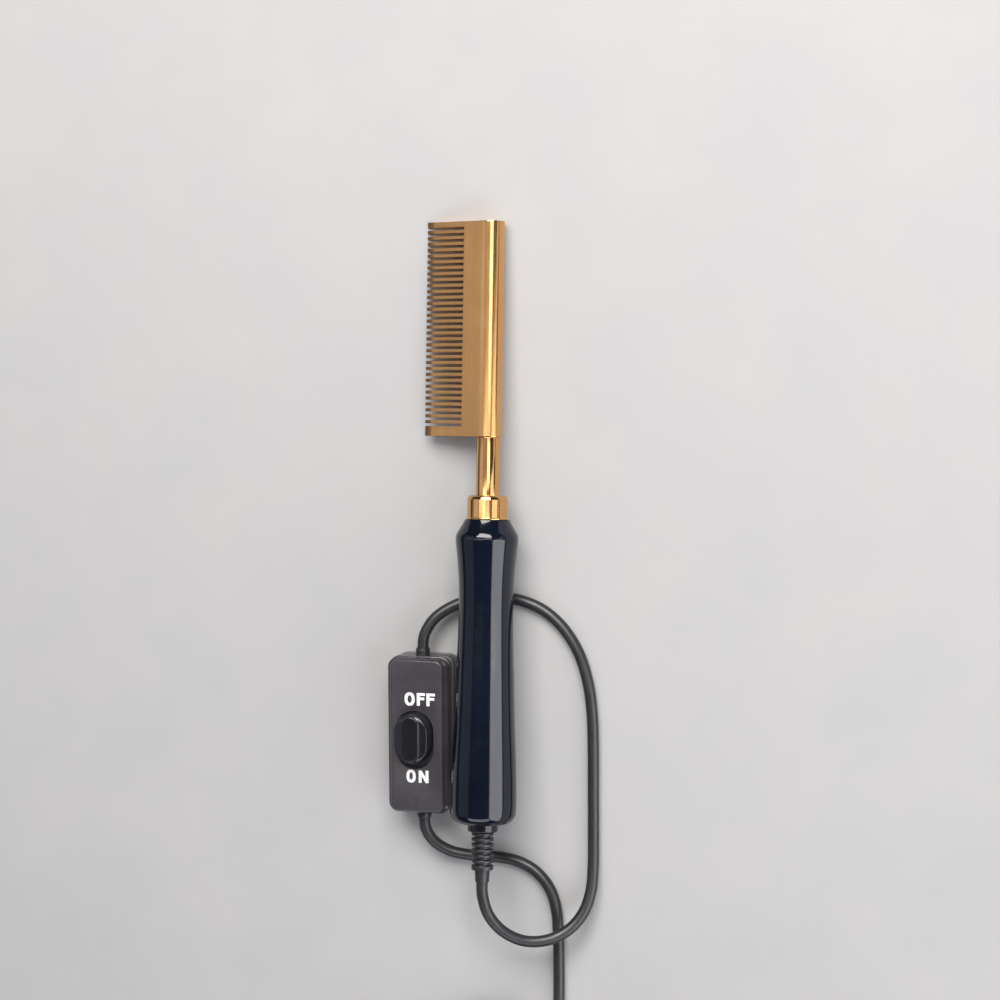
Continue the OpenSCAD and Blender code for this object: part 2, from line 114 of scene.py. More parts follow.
def even(pts, step):
    """The same polyline with points a constant step apart."""
    out, left = [pts[0].copy()], step
    for a, b in zip(pts, pts[1:]):
        length = (b - a).length
        at = 0.0
        while length - at > left:
            at += left
            out.append(a.lerp(b, at / length))
            left = step
        left -= length - at
    if (out[-1] - pts[-1]).length < step * 0.4:
        out.pop()
    out.append(pts[-1].copy())
    return out


def new_object(name, verts, faces, matrix, smooth=True, sharp=32.0, fix=True):
    mesh = bpy.data.meshes.new(name)
    mesh.from_pydata([tuple(matrix @ Vector(v)) for v in verts], [], faces)
    mesh.validate()
    if fix:
        bm = bmesh.new()
        bm.from_mesh(mesh)
        bmesh.ops.remove_doubles(bm, verts=bm.verts, dist=1e-7)
        bmesh.ops.recalc_face_normals(bm, faces=bm.faces)
        bm.to_mesh(mesh)
        bm.free()
    obj = bpy.data.objects.new(name, mesh)
    scene.collection.objects.link(obj)
    if smooth:
        mesh.polygons.foreach_set("use_smooth", [True] * len(mesh.polygons))
        mesh.set_sharp_from_angle(angle=math.radians(sharp))
    mesh.update()
    return obj


def resmooth(obj, sharp=32.0):
    mesh = obj.data
    mesh.polygons.foreach_set("use_smooth", [True] * len(mesh.polygons))
    mesh.set_sharp_from_angle(angle=math.radians(sharp))
    mesh.update()


def bake_modifiers(obj):
    dg = bpy.context.evaluated_depsgraph_get()
    mesh = bpy.data.meshes.new_from_object(obj.evaluated_get(dg))
    old = obj.data
    obj.modifiers.clear()
    obj.data = mesh
    mesh.name = old.name
    bpy.data.meshes.remove(old)


def bevel(obj, width, segments=2, angle=30.0, sharp=32.0):
    m = obj.modifiers.new("edge", "BEVEL")
    m.width = width * 0.001
    m.segments = segments
    m.limit_method = "ANGLE"
    m.angle_limit = math.radians(angle)
    m.use_clamp_overlap = True
    bake_modifiers(obj)
    resmooth(obj, sharp)


def cut(obj, cutters, sharp=32.0):
    """Takes the closed meshes in cutters out of obj, exactly."""
    for c in cutters:
        m = obj.modifiers.new("cut", "BOOLEAN")
        m.operation = "DIFFERENCE"
        m.solver = "EXACT"
        m.object = c
    bake_modifiers(obj)
    for c in cutters:
        data = c.data
        bpy.data.objects.remove(c)
        bpy.data.meshes.remove(data)
    resmooth(obj, sharp)


def join(name, objs):
    """One mesh holding several objects' meshes, all at the origin."""
    bm = bmesh.new()
    for o in objs:
        bm.from_mesh(o.data)
    mesh = bpy.data.meshes.new(name)
    bm.to_mesh(mesh)
    bm.free()
    for o in objs:
        data = o.data
        bpy.data.objects.remove(o)
        bpy.data.meshes.remove(data)
    obj = bpy.data.objects.new(name, mesh)
    scene.collection.objects.link(obj)
    resmooth(obj)
    return obj


def rounded(profile, radii, n=4):
    """A closed outline with its corners rounded: one radius per corner, 0 keeps it."""
    out = []
    m = len(profile)
    for i in range(m):
        p, a, b = Vector(profile[i]), Vector(profile[i - 1]), Vector(profile[(i + 1) % m])
        r = radii[i]
        u, w = (a - p), (b - p)
        if r <= 0 or u.length < 1e-6 or w.length < 1e-6:
            out.append(p)
            continue
        lu, lw = u.length, w.length
        u.normalize()
        w.normalize()
        half = u.angle(w) / 2
        if half > math.radians(88):
            out.append(p)
            continue
        d = min(r / math.tan(half), lu * 0.49, lw * 0.49)
        rr = d * math.tan(half)
        mid = (u + w).normalized()
        c = p + mid * (rr / math.sin(half))
        s, e = p + u * d - c, p + w * d - c
        for k in range(n + 1):
            t = k / n
            q = s.lerp(e, t)
            out.append(c + q.normalized() * rr if q.length > 1e-9 else c)
    return out


def lathe(name, profile, matrix=LAY, segs=96, closed=True, sharp=32.0, wobble=None, at=(0.0, 0.0)):
    """Turns a list of (y, r) about the Y axis; closed joins its last point to its first."""
    verts, faces = [], []
    m = len(profile)
    for y, r in profile:
        for k in range(segs):
            a = 2 * math.pi * k / segs
            rr = r + (wobble(y, a) if wobble and r > 0 else 0.0)
            verts.append((at[0] + rr * math.cos(a), y, at[1] + rr * math.sin(a)))
    rows = m if closed else m - 1
    for i in range(rows):
        j = (i + 1) % m
        for k in range(segs):
            n = (k + 1) % segs
            faces.append((i * segs + k, i * segs + n, j * segs + n, j * segs + k))
    if not closed:
        faces.append(tuple(range(segs)))
        faces.append(tuple((m - 1) * segs + k for k in reversed(range(segs))))
    return new_object(name, verts, faces, matrix, sharp=sharp)


def rrect(w, l, r, n=8, cx=0.0, cy=0.0):
    r = min(r, w / 2 - 0.005, l / 2 - 0.005)
    out = []
    for q, (sx, sy) in enumerate(((1, 1), (-1, 1), (-1, -1), (1, -1))):
        for k in range(n + 1):
            a = math.pi / 2 * (q + k / n)
            out.append((cx + sx * (w / 2 - r) + r * math.cos(a), cy + sy * (l / 2 - r) + r * math.sin(a)))
    return out


def loft(name, loops, matrix, closed=False, caps=(True, True), sharp=32.0):
    """Joins loops of 3-D points that all have the same count."""
    n = len(loops[0])
    verts = [p for loop in loops for p in loop]
    faces = []
    rows = len(loops) if closed else len(loops) - 1
    for i in range(rows):
        j = (i + 1) % len(loops)
        for k in range(n):
            m = (k + 1) % n
            faces.append((i * n + k, i * n + m, j * n + m, j * n + k))
    if not closed and caps[0]:
        faces.append(tuple(range(n)))
    if not closed and caps[1]:
        faces.append(tuple((len(loops) - 1) * n + k for k in reversed(range(n))))
    return new_object(name, verts, faces, matrix, sharp=sharp)


def box_cutter(lo, hi, matrix):
    (x0, y0, z0), (x1, y1, z1) = lo, hi
    v = [(x0, y0, z0), (x1, y0, z0), (x1, y1, z0), (x0, y1, z0), (x0, y0, z1), (x1, y0, z1), (x1, y1, z1), (x0, y1, z1)]
    f = [(3, 2, 1, 0), (4, 5, 6, 7), (0, 1, 5, 4), (1, 2, 6, 5), (2, 3, 7, 6), (3, 0, 4, 7)]
    return new_object("cutter", v, f, matrix, smooth=False)


def cyl_cutter(r, p, q, matrix, n=48):
    p, q = Vector(p), Vector(q)
    t = (q - p).normalized()
    s = t.orthogonal().normalized()
    u = t.cross(s)
    verts = [tuple(c + r * (math.cos(2 * math.pi * k / n) * s + math.sin(2 * math.pi * k / n) * u))
             for c in (p, q) for k in range(n)]
    faces = [(k, (k + 1) % n, n + (k + 1) % n, n + k) for k in range(n)]
    faces += [tuple(reversed(range(n))), tuple(range(n, 2 * n))]
    return new_object("cutter", verts, faces, matrix, smooth=False)


# ------------------------------------------------------------------ materials


def material(name):
    mat = bpy.data.materials.new(name)
    mat.use_nodes = True
    nt = mat.node_tree
    bsdf = next(n for n in nt.nodes if n.type == "BSDF_PRINCIPLED")
    return mat, nt, bsdf


def coords(nt, matrix=None, scale=(1000.0, 1000.0, 1000.0)):
    """Object coordinates, in millimetres of the piece's own axes where a matrix is given."""
    tc = nt.nodes.new("ShaderNodeTexCoord")
    out = tc.outputs["Object"]
    if matrix is not None:
        back_to = nt.nodes.new("ShaderNodeMapping")
        back_to.vector_type = "TEXTURE"
        loc, rot, _ = matrix.decompose()
        back_to.inputs["Location"].default_value = loc
        back_to.inputs["Rotation"].default_value = rot.to_euler("XYZ")
        nt.links.new(out, back_to.inputs["Vector"])
        out = back_to.outputs["Vector"]
    m = nt.nodes.new("ShaderNodeMapping")
    m.inputs["Scale"].default_value = scale
    nt.links.new(out, m.inputs["Vector"])
    return m.outputs["Vector"]


def noise(nt, vec, scale, detail=3.0, rough=0.55, distort=0.0):
    n = nt.nodes.new("ShaderNodeTexNoise")
    n.inputs["Scale"].default_value = scale
    n.inputs["Detail"].default_value = detail
    n.inputs["Roughness"].default_value = rough
    n.inputs["Distortion"].default_value = distort
    nt.links.new(vec, n.inputs["Vector"])
    return n.outputs["Fac"]


def ramp(nt, fac, stops, mode="LINEAR"):
    r = nt.nodes.new("ShaderNodeValToRGB")
    r.color_ramp.interpolation = mode
    while len(r.color_ramp.elements) < len(stops):
        r.color_ramp.elements.new(0.5)
    for e, (pos, col) in zip(r.color_ramp.elements, stops):
        e.position = pos
        e.color = (*col, 1.0)
    nt.links.new(fac, r.inputs["Fac"])
    return r.outputs["Color"]


def spread(nt, fac, lo, hi, a=0.3, b=0.7):
    m = nt.nodes.new("ShaderNodeMapRange")
    m.inputs["From Min"].default_value = a
    m.inputs["From Max"].default_value = b
    m.inputs["To Min"].default_value = lo
    m.inputs["To Max"].default_value = hi
    nt.links.new(fac, m.inputs["Value"])
    return m.outputs["Result"]


def math_node(nt, op, a, b=None):
    m = nt.nodes.new("ShaderNodeMath")
    m.operation = op
    for i, v in enumerate((a, b)):
        if v is None:
            continue
        if isinstance(v, (int, float)):
            m.inputs[i].default_value = v
        else:
            nt.links.new(v, m.inputs[i])
    return m.outputs["Value"]


def bump(nt, bsdf, height, strength, distance, normal=None):
    b = nt.nodes.new("ShaderNodeBump")
    b.inputs["Strength"].default_value = strength
    b.inputs["Distance"].default_value = distance
    nt.links.new(height, b.inputs["Height"])
    if normal is not None:
        nt.links.new(normal, b.inputs["Normal"])
    nt.links.new(b.outputs["Normal"], bsdf.inputs["Normal"])
    return b.outputs["Normal"]


def shade(c, f):
    return tuple(min(1.0, v * f) for v in c)


def simple(name, color, rough, metal=0.0, vary=0.12, size=0.08, rough_vary=0.06, bumps=0.1, grain=1.2, depth=0.00004,
           coat=0.0, coat_rough=0.1, spec=0.5, matrix=None, stretch=(1, 1, 1)):
    """Mottled colour, uneven roughness and a fine grain."""
    mat, nt, bsdf = material(name)
    vec = coords(nt, matrix, tuple(1000.0 * s for s in stretch))
    big = noise(nt, vec, size, 4.0)
    nt.links.new(ramp(nt, big, [(0.3, shade(color, 1 - vary)), (0.7, shade(color, 1 + vary))]), bsdf.inputs["Base Color"])
    nt.links.new(spread(nt, noise(nt, vec, size * 2.7, 5.0), max(0.02, rough - rough_vary), rough + rough_vary), bsdf.inputs["Roughness"])
    bsdf.inputs["Metallic"].default_value = metal
    bsdf.inputs["Specular IOR Level"].default_value = spec
    if coat:
        bsdf.inputs["Coat Weight"].default_value = coat
        bsdf.inputs["Coat Roughness"].default_value = coat_rough
    if bumps:
        bump(nt, bsdf, noise(nt, vec, grain, 2.0), bumps, depth)
    return mat


GOLD = (0.70, 0.38, 0.155)


def blade_material():
    """Satin flanks brushed along the blade, a polished spine, and a painted dark reflection at the ground tips."""
    mat, nt, bsdf = material("gold_satin")
    vec = coords(nt, Matrix.Translation(LAY.translation) @ ROT)
    sep = nt.nodes.new("ShaderNodeSeparateXYZ")
    nt.links.new(vec, sep.inputs["Vector"])
    x, z = sep.outputs["X"], sep.outputs["Z"]
    # 0 on the flanks, 1 on the spine's round
    round_ = spread(nt, x, 0.0, 1.0, -2.6, -1.3)
    streak_vec = nt.nodes.new("ShaderNodeMapping")
    streak_vec.inputs["Scale"].default_value = (1.0, 0.035, 1.0)
    nt.links.new(vec, streak_vec.inputs["Vector"])
    sv = streak_vec.outputs["Vector"]
    streak = noise(nt, sv, 2.6, 5.0, 0.7)
    broad = noise(nt, sv, 0.35, 3.0)
    cloud = noise(nt, vec, 0.06, 3.0)
    tone = math_node(nt, "ADD", math_node(nt, "MULTIPLY", broad, 0.5), math_node(nt, "MULTIPLY", cloud, 0.5))
    plate = ramp(nt, tone, [(0.32, shade(GOLD, 0.92)), (0.5, GOLD), (0.68, (0.74, 0.43, 0.175))])
    # painted dark reflection: the ground tips are darkened in the base colour
    painted_tip_shade = spread(nt, math_node(nt, "ADD", x, math_node(nt, "MULTIPLY", cloud, 0.8)), 1.0, 0.0, -26.8, -25.6)
    tip = nt.nodes.new("ShaderNodeMix")
    tip.data_type = "RGBA"
    nt.links.new(painted_tip_shade, tip.inputs[0])
    nt.links.new(plate, tip.inputs[6])
    # colour of the painted dark reflection on the tips
    tip.inputs[7].default_value = (0.36, 0.18, 0.075, 1.0)
    nt.links.new(tip.outputs[2], bsdf.inputs["Base Color"])
    rough_flat = spread(nt, streak, 0.3, 0.42)
    rough_round = spread(nt, streak, 0.12, 0.2)
    mix = nt.nodes.new("ShaderNodeMix")
    mix.data_type = "FLOAT"
    nt.links.new(round_, mix.inputs[0])
    nt.links.new(rough_flat, mix.inputs[2])
    nt.links.new(rough_round, mix.inputs[3])
    nt.links.new(mix.outputs[0], bsdf.inputs["Roughness"])
    bsdf.inputs["Metallic"].default_value = 1.0
    bump(nt, bsdf, streak, 0.12, 0.00003)
    return mat


def tube_material(name, rough=0.14, color=GOLD):
    """Drawn and polished gold tube: fine marks round it and a few long ones."""
    mat, nt, bsdf = material(name)
    vec = coords(nt, Matrix.Translation(LAY.translation) @ ROT)
    m = nt.nodes.new("ShaderNodeMapping")
    m.inputs["Scale"].default_value = (0.25, 2.2, 0.25)
    nt.links.new(vec, m.inputs["Vector"])
    turned = noise(nt, m.outputs["Vector"], 1.6, 4.0, 0.6)
    cloud = noise(nt, vec, 0.12, 3.0)
    nt.links.new(ramp(nt, cloud, [(0.3, shade(color, 0.93)), (0.7, shade(color, 1.05))]), bsdf.inputs["Base Color"])
    nt.links.new(spread(nt, turned, rough - 0.03, rough + 0.05), bsdf.inputs["Roughness"])
    bsdf.inputs["Metallic"].default_value = 1.0
    bump(nt, bsdf, turned, 0.05, 0.00002)
    return mat


def gloss_black():
    """Moulded gloss plastic: faint flow waves that bend the highlights, dust-fine specks."""
    mat, nt, bsdf = material("handle_gloss")
    vec = coords(nt, Matrix.Translation(LAY.translation) @ ROT)
    cloud = noise(nt, vec, 0.05, 3.0)
    nt.links.new(ramp(nt, cloud, [(0.35, (0.0012, 0.0024, 0.0064)), (0.65, (0.002, 0.0037, 0.0094))]), bsdf.inputs["Base Color"])
    nt.links.new(spread(nt, noise(nt, vec, 0.4, 5.0), 0.075, 0.125), bsdf.inputs["Roughness"])
    bsdf.inputs["IOR"].default_value = 1.5
    wave_vec = nt.nodes.new("ShaderNodeMapping")
    wave_vec.inputs["Scale"].default_value = (1.0, 0.3, 1.0)
    nt.links.new(vec, wave_vec.inputs["Vector"])
    wave = noise(nt, wave_vec.outputs["Vector"], 0.1, 1.0, 0.3)
    n1 = nt.nodes.new("ShaderNodeBump")
    n1.inputs["Strength"].default_value = 0.12
    n1.inputs["Distance"].default_value = 0.0005
    nt.links.new(wave, n1.inputs["Height"])
    speck = noise(nt, vec, 1.5, 3.0, 0.6)
    bump(nt, bsdf, speck, 0.05, 0.00005, n1.outputs["Normal"])
    return mat


def spark_black(name, color, rough, cell=1.7, strength=0.45, gloss_below=None):
    """Fine spark-eroded texture of a moulded switch case; its sides are glossy below one height."""
    mat, nt, bsdf = material(name)
    vec = coords(nt)
    cloud = noise(nt, vec, 0.07, 3.0)
    fine = noise(nt, vec, cell, 3.0, 0.65)
    v = nt.nodes.new("ShaderNodeTexVoronoi")
    v.inputs["Scale"].default_value = cell * 1.35
    nt.links.new(vec, v.inputs["Vector"])
    both = math_node(nt, "ADD", fine, math_node(nt, "MULTIPLY", v.outputs["Distance"], 0.5))
    tone = math_node(nt, "ADD", math_node(nt, "MULTIPLY", cloud, 0.6), math_node(nt, "MULTIPLY", fine, 0.4))
    nt.links.new(ramp(nt, tone, [(0.36, shade(color, 0.78)), (0.64, shade(color, 1.25))]), bsdf.inputs["Base Color"])
    uneven = spread(nt, fine, rough - 0.07, rough + 0.07)
    if gloss_below:
        sep = nt.nodes.new("ShaderNodeSeparateXYZ")
        nt.links.new(vec, sep.inputs["Vector"])
        face = spread(nt, sep.outputs["Z"], 0.0, 1.0, gloss_below[0], gloss_below[1])
        mix = nt.nodes.new("ShaderNodeMix")
        mix.data_type = "FLOAT"
        nt.links.new(face, mix.inputs[0])
        nt.links.new(spread(nt, fine, 0.13, 0.2), mix.inputs[2])
        nt.links.new(uneven, mix.inputs[3])
        uneven = mix.outputs[0]
        both = math_node(nt, "MULTIPLY", both, face)
    nt.links.new(uneven, bsdf.inputs["Roughness"])
    bump(nt, bsdf, both, strength, 0.00012)
    return mat


M = {
    "gold_metal": blade_material(),
    "gold_polished": tube_material("gold_tube", 0.085),
    "handle_black": gloss_black(),
    "cap_black": simple("cap_gloss", (0.006, 0.007, 0.011), 0.16, grain=0.9, bumps=0.05),
    "relief_rubber": simple("relief_rubber", (0.012, 0.012, 0.015), 0.36, size=0.3, grain=2.4, bumps=0.18, depth=0.00006),
    "cord_black": simple("cord_jacket", (0.011, 0.011, 0.013), 0.38, size=0.12, grain=1.8, bumps=0.15, depth=0.00006),
    "switch_black": spark_black("switch_case", (0.027, 0.0245, 0.03), 0.42, gloss_below=(17.975, 17.998)),
    "button_black": simple("button_gloss", (0.008, 0.0075, 0.01), 0.12, size=0.2, rough_vary=0.03, grain=1.1, bumps=0.04),
    "white_print": simple("pad_print", (0.62, 0.62, 0.63), 0.5, vary=0.05, size=0.8, grain=3.0, bumps=0.12),
    "plug_black": spark_black("plug_moulding", (0.016, 0.016, 0.019), 0.36, 1.3, 0.3),
    "plug_brass": simple("blade_brass", (0.7, 0.5, 0.24), 0.26, metal=1.0, size=0.2, grain=1.6, bumps=0.12, stretch=(1, 0.12, 1)),
    "contact_brass": simple("contact_brass", (0.68, 0.42, 0.22), 0.3, metal=1.0, size=0.4, grain=2.0),
    "steel": simple("zinc_steel", (0.55, 0.55, 0.56), 0.32, metal=1.0, size=0.5, grain=2.4),
    "ceramic": simple("steatite", (0.8, 0.77, 0.7), 0.55, size=0.3, grain=1.6, bumps=0.2),
    "mica": simple("mica_sheet", (0.42, 0.31, 0.19), 0.34, size=0.35, vary=0.3, grain=1.2, coat=0.3),
    "wire_black": simple("wire_black", (0.018, 0.018, 0.018), 0.42, size=0.5, grain=2.0),
    "wire_white": simple("wire_white", (0.7, 0.7, 0.67), 0.46, size=0.5, grain=2.0),
    "inner_plastic": simple("nylon", (0.68, 0.64, 0.53), 0.46, size=0.25, grain=1.4, bumps=0.12),
    "tie_black": simple("tie_vinyl", (0.014, 0.014, 0.015), 0.33, size=0.4, grain=1.6, bumps=0.15),
}


def finish_piece(obj, slot, body="comb", replaces=()):
    mats = obj.data.materials
    mats.clear()
    mats.append(M[slot])
    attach(obj, body)
    if replaces:
        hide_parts(*replaces)
    return obj


# every CAD node keeps its shape and takes the finish of its slot
slot_of = {s["node"]: s["material_slot"] for s in frame["record"]["subparts"] if "node" in s and "material_slot" in s}
for node_name, node_obj in frame["nodes"].items():
    finish_mat = M.get(slot_of.get(node_name, ""), M["steel"])
    for ms in node_obj.material_slots:
        ms.material = finish_mat

# ------------------------------------------------------------------ cords
TAIL = (0.0, -BOOT_END * math.cos(PITCH), H0 + BOOT_END * math.sin(PITCH))
HANDLE_ROUTE = [TAIL, (0.2, -155.5, 24.4), (2.4, -163.6, 23.3), (7.6, -170.6, 20.8), (15.4, -175, 17.4),
                (24.4, -175.2, 13.6), (32.6, -171.4, 9.8), (38.4, -164.4, 6.8), (41.2, -155.4, 4.6), (41.8, -146, 3.2),
                (41.8, -136, 2.5), (41.8, -124, 2.4), (41.8, -110, 2.4), (41.8, -96, 2.4), (41.4, -82, 2.4),
                (39.8, -69, 2.4), (36, -56.5, 2.4), (29.4, -46, 2.4), (20.4, -38.4, 2.4), (10, -34.6, 2.4),
                (0, -33.9, 2.4), (-10, -35, 3.5), (-18.6, -38, 5.4), (-25.6, -43, 7.4), (-29.5, -49.6, 8.7),
                (SW_X, SW_Y + SW_L / 2 + 3, 9)]
MAINS_ROUTE = [(SW_X, SW_Y - SW_L / 2 - 3, 9), (-29.6, -132.4, 8.7), (-26, -138, 7.4), (-19.2, -142, 5.4),
               (-10, -143.6, 3.5), (0, -143.9, 2.4), (9, -145.2, 2.4), (17, -149.2, 2.4), (22.8, -156, 2.4),
               (25.6, -164.8, 2.4), (26.4, -175, 2.4), (26.6, -187, 2.4), (26.6, -199, 2.4), (26.4, -212, 2.4),
               (26.1, -225, 2.4), (26, HANK_Y + END_Y, 2.4)]
PLUG_ROUTE = [(26, HANK_Y - END_Y, 7.2), (25.6, -319, 7.2), (23.4, -328, 6.6), (18.4, -336.5, 5), (10.4, -342.6, 3.4),
              (1, -345.2, 2.5), (-9, -344.8, 2.4), (-18.5, -341.5, 2.4), (-27, -335.5, 2.7), (-34, -327.5, 3.8),
              (-39, -318.5, 5.2), (-41.3, -309.5, 6.4), (PLUG_X, PLUG_Y, PLUG_Z)]


def hank_path(t=2.5, rho=15.0, lane=4.86):
    """Four and a half laps pinched at the tie: three lanes below, three above."""
    radii = [LOOP_R - lane * i for i in range(3)]
    a_, x_, y_ = LOOP_R + rho, MID_W + rho, END_Y - t
    flat = math.sqrt(x_ * x_ + y_ * y_ - a_ * a_)
    phi = math.atan2(y_, x_) - math.atan2(flat, a_)

    def side(i):
        r, rh = radii[i], rho + lane * i
        out = [(r * math.cos(phi * k / 5), END_Y - r * math.sin(phi * k / 5)) for k in range(6)]
        x0, y0 = out[-1]
        m = max(1, int(flat / 4))
        out += [(x0 - math.sin(phi) * flat * k / m, y0 - math.cos(phi) * flat * k / m) for k in range(1, m + 1)]
        out += [(MID_W + rho - rh * math.cos(phi * (1 - k / 5)), t + rh * math.sin(phi * (1 - k / 5))) for k in range(1, 6)]
        return out

    def run(i, z, left):
        s = side(i)
        full = s + [(x, -y) for x, y in reversed(s)]
        out = [(x, y, z + TIE_T * ease((16 - abs(y)) / 11)) for x, y in full]
        return [(-x, -y, z_) for x, y, z_ in out] if left else out

    def loop(i, j, z0, z1, top):
        out = []
        for k in range(1, 14):
            f = k / 14
            a = math.pi * f
            r = radii[i] + (radii[j] - radii[i]) * ease(f)
            z = z0 + (z1 - z0) * ease(f)
            out.append((-r * math.cos(a), END_Y + r * math.sin(a), z) if top else (r * math.cos(a), -END_Y - r * math.sin(a), z))
        return out

    b, u = CORD_D / 2, CORD_D * 1.5 + 0.02
    p = run(0, b, False) + loop(0, 1, b, b, False) + run(1, b, True) + loop(1, 1, b, b, True)
    p += run(1, b, False) + loop(1, 2, b, b, False) + run(2, b, True) + loop(2, 2, b, u, True)
    p += run(2, u, False) + loop(2, 1, u, u, False) + run(1, u, True) + loop(1, 1, u, u, True)
    p += run(1, u, False) + loop(1, 0, u, u, False) + run(0, u, True) + loop(0, 0, u, u, True)
    p += run(0, u, False)
    q = [p[0]]
    for c in p[1:]:
        if math.dist(c, q[-1]) > 0.8:
            q.append(c)
    return [(HANK_X + x, HANK_Y + y, z) for x, y, z in q]


def cord_curve(name, pts):
    data = bpy.data.curves.new(name, "CURVE")
    data.dimensions = "3D"
    s = data.splines.new("POLY")
    s.points.add(len(pts) - 1)
    for p, c in zip(s.points, pts):
        p.co = (*(PLACE @ Vector(c)), 1.0)
    s.use_smooth = True
    data.bevel_depth = CORD_D / 2 * 0.001
    data.bevel_resolution = 6
    data.use_fill_caps = True
    data.twist_mode = "MINIMUM"
    obj = bpy.data.objects.new(name, data)
    scene.collection.objects.link(obj)
    return obj


handle_pts = even(catmull(HANDLE_ROUTE, 12), 1.5)
mains_pts = even(catmull(MAINS_ROUTE + hank_path()[1:] + PLUG_ROUTE[1:], 4), 1.7)
handle_cord = finish_piece(cord_curve("handle_cord_jacket", handle_pts), "cord_black", replaces=["handle_cord"])
mains_cord = finish_piece(cord_curve("mains_cord_jacket", mains_pts), "cord_black",
                          replaces=["mains_lead", "cord_hank", "plug_lead"])

# ------------------------------------------------------------------ comb head


def comb_blade():
    """One casting: round spine, tapered flanks, teeth, shank and heater bore."""
    ll = math.hypot(BEVEL_X, BEVEL_HALF)
    ta = math.pi - math.atan(BEVEL_HALF / BEVEL_X) - math.acos(SPINE_R / ll)
    tx, tz = SPINE_R * math.cos(ta), SPINE_R * math.sin(ta)

    def flank(x):
        return BEVEL_HALF + (tz - BEVEL_HALF) * (x + BEVEL_X) / (tx + BEVEL_X)

    top = [(x, flank(x)) for x in (-ROOT_X, -10.0, -7.0, -4.0)]
    n = 56
    arc = [(SPINE_R * math.cos(ta - 2 * ta * k / n), SPINE_R * math.sin(ta - 2 * ta * k / n)) for k in range(n + 1)]
    body = top + arc + [(x, -z) for x, z in reversed(top)]
    tooth = [(-21.0, flank(-21.0)), (-BEVEL_X, BEVEL_HALF), (-REACH, TIP_HALF), (-REACH, -TIP_HALF), (-BEVEL_X, -BEVEL_HALF),
             (-21.0, -flank(-21.0))]
    rows, solid = [FAR_Y, FAR_Y - 0.3], [True, True]
    for i in range(SLOTS):
        c = FAR_Y - 2.85 - i * PITCH_TEETH
        rows += [c + SLOT_W / 2, c - SLOT_W / 2]
        solid += [False, True]
    rows += [NECK_Y + 0.3, NECK_Y]
    solid.append(True)
    nb, nt_ = len(body), len(tooth)
    per = nb + nt_
    verts = [(x, y, z) for y in rows for x, z in body + tooth]
    faces = []
    ring = list(range(nb)) + [nb + k for k in reversed(range(nt_))]  # outline order of one row
    for j in range(len(rows) - 1):
        a, b = j * per, (j + 1) * per
        for k in range(nb - 1):
            faces.append((a + k, a + k + 1, b + k + 1, b + k))
        if solid[j]:  # a tooth, or the solid margin at either end
            chain = [0] + [nb + k for k in range(nt_)] + [nb - 1]
            for p, q in zip(chain, chain[1:]):
                faces.append((a + p, b + p, b + q, a + q))
            side = [0] + [nb + k for k in range(nt_)] + [nb - 1]
            if j > 0 and not solid[j - 1]:
                faces.append(tuple(a + k for k in side))
            if j + 1 < len(solid) and not solid[j + 1]:
                faces.append(tuple(b + k for k in reversed(side)))
        else:
            faces.append((a, b, b + nb - 1, a + nb - 1))
    faces.append(tuple(ring))
    # near end: the outline with the shank's circle in it
    m = 48
    last = (len(rows) - 1) * per

    def circle(r, y):
        base = len(verts)
        verts.extend((r * math.cos(2 * math.pi * k / m), y, r * math.sin(2 * math.pi * k / m)) for k in range(m))
        return [base + k for k in range(m)]

    hole = circle(4.25, NECK_Y)
    outline = [last + k for k in ring]
    tris = tessellate_polygon([[Vector(verts[i]) for i in outline], [Vector(verts[i]) for i in hole]])
    flat = outline + hole
    faces.extend(tuple(flat[i] for i in t) for t in tris)
    shank = circle(4.25, NECK_Y - 8)
    bore0 = circle(3.2, NECK_Y - 8)
    bore1 = circle(3.2, FAR_Y - 5)
    for p, q in ((hole, shank), (shank, bore0), (bore0, bore1)):
        for k in range(m):
            faces.append((p[k], p[(k + 1) % m], q[(k + 1) % m], q[k]))
    faces.append(tuple(bore1))
    obj = new_object("comb_blade_casting", verts, faces, LAY)
    bevel(obj, 0.14, 2, 34.0, 40.0)
    return obj


blade = finish_piece(comb_blade(), "gold_metal", replaces=["comb_blade"])

# ------------------------------------------------------------------ neck, collar, handle
neck_profile = rounded([(-17, 4.3), (-17, NECK_R), (NECK_Y - 0.03, NECK_R), (NECK_Y - 0.03, 4.3)], [0.1, 0.25, 0.3, 0.1], 3)
neck = finish_piece(lathe("neck_tube_drawn", neck_profile), "gold_polished", replaces=["neck_tube"])

collar_outer = [(0, 8.59), (0.66, 8.59), (0.92, 8.44), (8.4, 8.38), (10.0, 7.9), (10.0, NECK_R + 0.08)]
collar_profile = rounded([(0, 7.5)] + collar_outer + [(COLLAR_LEN - 1, NECK_R + 0.08), (COLLAR_LEN - 1, 7.5)],
                         [0.1, 0.25, 0.2, 0.15, 0.6, 1.25, 0.2, 0.0, 0.1], 5)
collar = finish_piece(lathe("collar_spun", collar_profile, segs=112), "gold_polished", replaces=["collar"])

